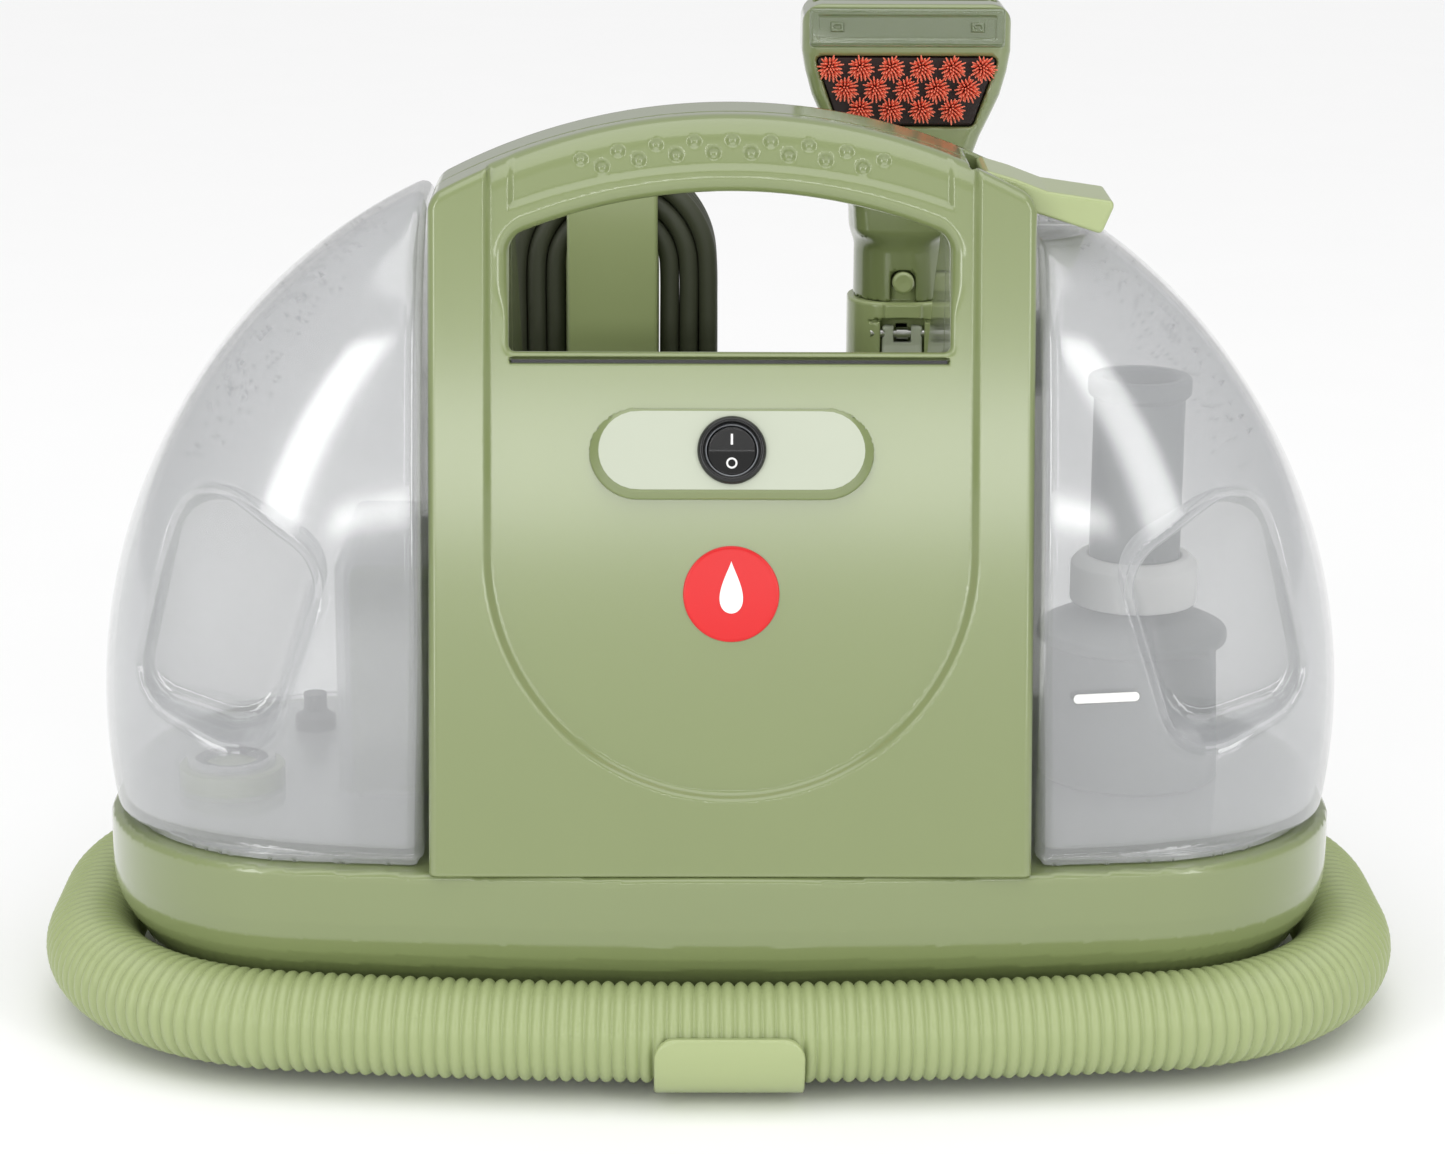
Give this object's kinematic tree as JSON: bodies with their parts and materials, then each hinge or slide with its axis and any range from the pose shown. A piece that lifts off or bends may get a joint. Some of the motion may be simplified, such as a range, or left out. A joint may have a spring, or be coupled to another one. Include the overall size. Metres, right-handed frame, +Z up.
{
  "type": "portable carpet cleaner",
  "caption": "Portable spot carpet cleaner: domed body with carry handle, a tank on each side, suction hose wrapped round the base and a brush nozzle at the back.",
  "frame": {"origin": "on the floor under the middle of the base, the power cord and plug left out", "axes": "+X to the operator's right along the base's length, +Y to the back, +Z up"},
  "size_m": [0.4508, 0.2516, 0.322],
  "materials": {
    "green_body": "glossy sage green moulded plastic",
    "green_clear": "glossy tinted sage green moulded plastic",
    "green_hose": "ribbed flexible sage green plastic",
    "smoky_tank": "translucent smoky grey plastic",
    "clear_window": "clear tinted plastic",
    "clear_line": "clear soft tubing",
    "grey_plastic": "mid grey moulded plastic",
    "black_plastic": "black plastic",
    "black_rubber": "black rubber",
    "cord": "dark grey-green cord jacket",
    "steel": "plain steel",
    "motor_steel": "zinc-coated steel",
    "brass": "plated brass",
    "bristle": "orange-red nylon bristle"
  },
  "bodies": {
    "machine": {"base_tray": "green_body", "base_bottom_plate": "green_body", "rubber_feet": "black_rubber", "base_screws": "steel", "front_hose_clip": "green_body", "rear_hose_clip": "green_body", "hose_tube": "green_hose", "hose_base_cuff": "green_body", "hose_wand_cuff": "green_body", "front_housing": "green_body", "rear_housing": "green_body", "housing_screws": "steel", "pump_cover": "green_body", "exhaust_grille": "green_body", "switch_pod": "green_body", "switch_bezel": "black_plastic", "switch_body": "black_plastic", "motor_can": "motor_steel", "fan_housing": "grey_plastic", "motor_mounts": "black_rubber", "pump_body": "grey_plastic", "water_line": "clear_line", "tank_seal": "black_rubber", "latch_pin": "steel", "latch_spring": "steel", "power_cord_hank": "cord", "cord_wrap_bracket": "green_body", "power_cord_lead": "cord", "power_cord_tail": "cord", "cord_gland": "black_plastic", "plug_strain_relief": "cord", "plug_body": "cord", "plug_blades": "brass", "wand_body": "green_body", "trigger_pin": "steel", "trigger_spring": "steel", "wand_holder": "green_body"},
    "clean_tank": {"clean_tank_shell": "smoky_tank", "clean_tank_valve": "grey_plastic"},
    "tank_cap": {"clean_tank_cap": "grey_plastic", "cap_gasket": "black_rubber"},
    "dirty_tank": {"dirty_tank_shell": "smoky_tank", "separator_stack": "grey_plastic"},
    "float": {"stack_float": "grey_plastic"},
    "latch": {"latch_lever": "green_body"},
    "rocker": {"switch_rocker": "black_plastic"},
    "trigger": {"spray_trigger": "green_body"},
    "button": {"release_button": "green_body"},
    "nozzle": {"nozzle_body": "green_clear", "nozzle_window": "clear_window", "brush_block": "black_plastic", "bristle_tufts": "bristle"},
    "rotor": {"motor_shaft": "steel", "impeller": "grey_plastic"},
    "plunger": {"pump_plunger": "steel"}
  },
  "joints": [
    {"name": "clean_tank_pull", "type": "slide", "parent": "machine", "child": "clean_tank", "axis": [-1, 0, 0], "range_m": [0, 0.14]},
    {"name": "dirty_tank_pull", "type": "slide", "parent": "machine", "child": "dirty_tank", "axis": [1, 0, 0], "range_m": [0, 0.14]},
    {"name": "tank_cap_turn", "type": "hinge", "parent": "clean_tank", "child": "tank_cap", "pos_m": [-0.162, -0.02, 0.076], "axis": [0, 0, 1], "range_deg": [0, 90]},
    {"name": "float_rise", "type": "slide", "parent": "dirty_tank", "child": "float", "axis": [0, 0, 1], "range_m": [0, 0.045]},
    {"name": "latch_lift", "type": "hinge", "parent": "machine", "child": "latch", "pos_m": [0.087, -0.035, 0.277], "axis": [0, -1, 0], "range_deg": [0, 22], "stiffness_Nm_per_rad": 0.12, "springref_deg": -20.05},
    {"name": "power_rocker", "type": "hinge", "parent": "machine", "child": "rocker", "pos_m": [0.00225, -0.07399, 0.20062], "axis": [-1, 0, 0], "range_deg": [0, 18]},
    {"name": "trigger_squeeze", "type": "hinge", "parent": "machine", "child": "trigger", "pos_m": [0.063, 0.0675, 0.209], "axis": [1, 0, 0], "range_deg": [0, 8], "stiffness_Nm_per_rad": 0.08, "springref_deg": -17.19},
    {"name": "release_press", "type": "slide", "parent": "machine", "child": "button", "axis": [0, 1, 0], "range_m": [0, 0.0025], "stiffness_N_per_m": 400, "springref_m": -0.002},
    {"name": "nozzle_pull", "type": "slide", "parent": "machine", "child": "nozzle", "axis": [0, 0, 1], "range_m": [0, 0.06]},
    {"name": "motor_spin", "type": "hinge", "parent": "machine", "child": "rotor", "pos_m": [0.002, -0.02, 0.12], "axis": [0, 0, 1], "continuous": true},
    {"name": "plunger_stroke", "type": "slide", "parent": "machine", "child": "plunger", "axis": [0, 1, 0], "range_m": [0, 0.003]}
  ]
}
